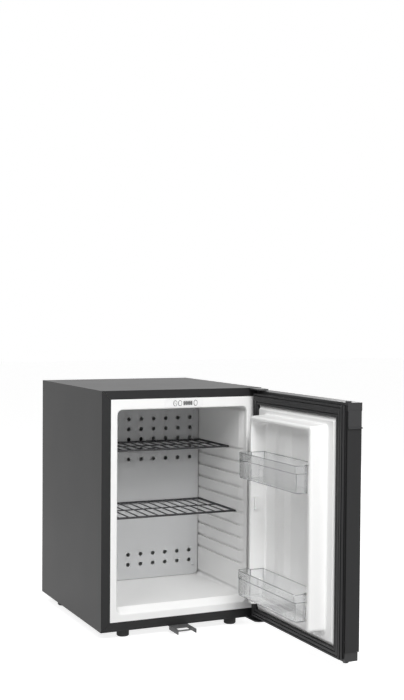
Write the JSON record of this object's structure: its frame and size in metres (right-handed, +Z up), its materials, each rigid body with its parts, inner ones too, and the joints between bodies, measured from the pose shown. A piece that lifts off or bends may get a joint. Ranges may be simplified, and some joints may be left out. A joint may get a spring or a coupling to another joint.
{
  "type": "minibar fridge",
  "caption": "Small hotel refrigerator with a hinged insulated door, wire shelves, clear door bins, a perforated cold air panel and a rear cooling unit.",
  "frame": {"origin": "bottom centre of the whole object's box at rest, with the door open at a right angle, on the floor", "axes": "+Z up, +Y from the cabinet's front to its back, +X towards the hinge side"},
  "size_m": [0.4194, 0.8592, 0.5635],
  "materials": {
    "shell_steel": "satin anthracite coat",
    "cover_steel": "satin coat",
    "black_steel": "matte black coat",
    "liner_white": "vacuum-formed, semi-gloss",
    "panel_grey": "fine satin",
    "dark_plastic": "fine grain",
    "fan_black": "moulded",
    "bush_plastic": "moulded acetal",
    "foam": "cut foam",
    "fascia_white": "satin",
    "key_grey": "satin",
    "display_dark": "gloss window",
    "board_green": "solder mask",
    "lens_white": "frosted",
    "aluminium": "extruded",
    "ceramic": "ceramic",
    "supply_metal": "plated",
    "bracket_steel": "dark satin coat",
    "bright_steel": "plated",
    "foot_rubber": "matte",
    "shelf_wire": "coated wire",
    "gasket_rubber": "soft matte",
    "magnet": "filled strip",
    "clear_plastic": "clear, slightly grey"
  },
  "bodies": {
    "cabinet": {"left_side_panel": "shell_steel", "right_side_panel": "shell_steel", "top_panel": "shell_steel", "base_pan": "shell_steel", "inner_liner": "liner_white", "insulation_left": "foam", "insulation_right": "foam", "insulation_top": "foam", "insulation_base": "foam", "insulation_rear": "foam", "control_fascia": "fascia_white", "display_window": "display_dark", "control_board": "board_green", "lamp_lens": "lens_white", "lamp_board": "board_green", "cold_air_panel": "panel_grey", "panel_screws": "bright_steel", "cold_sink": "aluminium", "cold_fan_frame": "fan_black", "fan_shroud": "panel_grey", "conduction_block": "aluminium", "thermoelectric_module": "ceramic", "hot_sink": "aluminium", "clamp_screws": "bright_steel", "hot_fan_frame": "fan_black", "power_supply": "supply_metal", "cord_gland": "dark_plastic", "rear_cover": "cover_steel", "rear_cover_screws": "bright_steel", "top_hinge_bracket": "black_steel", "top_hinge_pin": "bright_steel", "bottom_hinge_bracket": "black_steel", "bottom_hinge_pin": "bright_steel", "lock_bracket": "bracket_steel", "bracket_screws": "bright_steel", "feet": "foot_rubber", "foot_screws": "bright_steel"},
    "door": {"lock_housing": "supply_metal", "door_liner": "liner_white", "door_skin": "shell_steel", "door_top_cap": "dark_plastic", "door_bottom_cap": "dark_plastic", "door_insulation": "foam", "door_gasket": "gasket_rubber", "gasket_magnets": "magnet", "door_grip": "dark_plastic", "hinge_hole_plugs": "dark_plastic", "top_hinge_bush": "bush_plastic", "bottom_hinge_bush": "bush_plastic"},
    "upper_shelf": {"upper_shelf": "shelf_wire"},
    "lower_shelf": {"lower_shelf": "shelf_wire"},
    "upper_bin": {"upper_bin": "clear_plastic"},
    "lower_bin": {"lower_bin": "clear_plastic"},
    "button_1": {"control_button_1": "key_grey"},
    "button_2": {"control_button_2": "key_grey"},
    "button_3": {"control_button_3": "key_grey"},
    "cold_rotor": {"cold_fan_rotor": "fan_black"},
    "hot_rotor": {"hot_fan_rotor": "fan_black"},
    "lock_barrel": {"lock_barrel": "bright_steel"},
    "lock_bolt": {"lock_bolt": "bright_steel"}
  },
  "joints": [
    {"name": "door_hinge", "type": "hinge", "parent": "cabinet", "child": "door", "pos_m": [0.18225, -0.0344, 0.0185], "axis": [0, 0, 1], "range_deg": [-90, 35]},
    {"name": "upper_shelf_slide", "type": "slide", "parent": "cabinet", "child": "upper_shelf", "axis": [0, -1, 0], "range_m": [0, 0.015]},
    {"name": "lower_shelf_slide", "type": "slide", "parent": "cabinet", "child": "lower_shelf", "axis": [0, -1, 0], "range_m": [0, 0.009]},
    {"name": "upper_bin_lift", "type": "slide", "parent": "door", "child": "upper_bin", "axis": [0, 0, 1], "range_m": [0, 0.042]},
    {"name": "lower_bin_lift", "type": "slide", "parent": "door", "child": "lower_bin", "axis": [0, 0, 1], "range_m": [0, 0.042]},
    {"name": "cold_fan_spin", "type": "hinge", "parent": "cabinet", "child": "cold_rotor", "pos_m": [-0.00875, 0.2666, 0.4225], "axis": [0, 1, 0], "continuous": true},
    {"name": "hot_fan_spin", "type": "hinge", "parent": "cabinet", "child": "hot_rotor", "pos_m": [-0.00875, 0.3886, 0.4225], "axis": [0, 1, 0], "continuous": true},
    {"name": "lock_turn", "type": "hinge", "parent": "door", "child": "lock_barrel", "pos_m": [0.20975, -0.2359, 0.0585], "axis": [-1, 0, 0], "range_deg": [0, 90]},
    {"name": "lock_bolt_slide", "type": "slide", "parent": "door", "child": "lock_bolt", "axis": [0, 0, -1], "range_m": [0, 0.00708]},
    {"name": "button_1_press", "type": "slide", "parent": "cabinet", "child": "button_1", "axis": [0, 1, 0], "range_m": [0, 0.001], "stiffness_N_per_m": 600},
    {"name": "button_2_press", "type": "slide", "parent": "cabinet", "child": "button_2", "axis": [0, 1, 0], "range_m": [0, 0.001], "stiffness_N_per_m": 600},
    {"name": "button_3_press", "type": "slide", "parent": "cabinet", "child": "button_3", "axis": [0, 1, 0], "range_m": [0, 0.001], "stiffness_N_per_m": 600}
  ],
  "couplings": [
    {"joint": "lock_bolt_slide", "follows": "lock_turn", "m_per_rad": 0.0045016}
  ]
}
